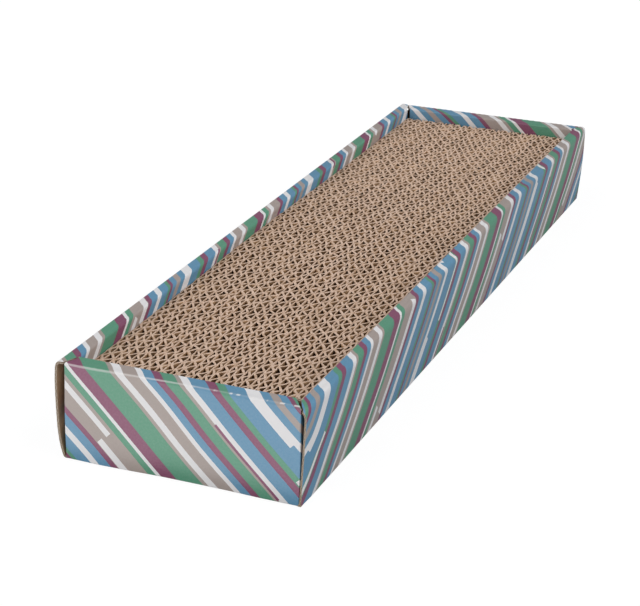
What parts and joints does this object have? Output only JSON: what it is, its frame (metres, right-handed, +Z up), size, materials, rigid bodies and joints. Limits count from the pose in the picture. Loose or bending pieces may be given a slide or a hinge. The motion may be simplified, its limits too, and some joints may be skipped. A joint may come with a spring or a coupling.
{
  "type": "cat scratcher",
  "caption": "Long shallow folded cardboard tray with hollow walls and a striped print, holding a lift-out pad of upright double-wall corrugated strips.",
  "frame": {"origin": "centre of the tray's flat underside, on the floor", "axes": "+X across the tray, to the right seen from its front end; +Y along its length, from the front end to the back end; +Z up, out of the open top"},
  "size_m": [0.1345, 0.48, 0.052],
  "materials": {
    "printed_board": "thin corrugated board, printed outside with slanted stripes, matt",
    "kraft_strip": "bare brown corrugated board, cut edges up"
  },
  "bodies": {
    "tray": {"base_panel": "printed_board", "left_outer_wall": "printed_board", "left_top_band": "printed_board", "left_inner_wall": "printed_board", "right_outer_wall": "printed_board", "right_top_band": "printed_board", "right_inner_wall": "printed_board", "front_outer_wall": "printed_board", "front_top_band": "printed_board", "front_inner_wall": "printed_board", "back_outer_wall": "printed_board", "back_top_band": "printed_board", "back_inner_wall": "printed_board", "front_left_flap": "printed_board", "front_right_flap": "printed_board", "back_left_flap": "printed_board", "back_right_flap": "printed_board"},
    "pad": {"pad_strip_01": "kraft_strip", "pad_strip_02": "kraft_strip", "pad_strip_03": "kraft_strip", "pad_strip_04": "kraft_strip", "pad_strip_05": "kraft_strip", "pad_strip_06": "kraft_strip", "pad_strip_07": "kraft_strip", "pad_strip_08": "kraft_strip", "pad_strip_09": "kraft_strip", "pad_strip_10": "kraft_strip", "pad_strip_11": "kraft_strip", "pad_strip_12": "kraft_strip", "pad_strip_13": "kraft_strip", "pad_strip_14": "kraft_strip"}
  },
  "joints": [
    {"name": "pad_lift", "type": "slide", "parent": "tray", "child": "pad", "axis": [0, 0, 1], "range_m": [0, 0.06]}
  ]
}
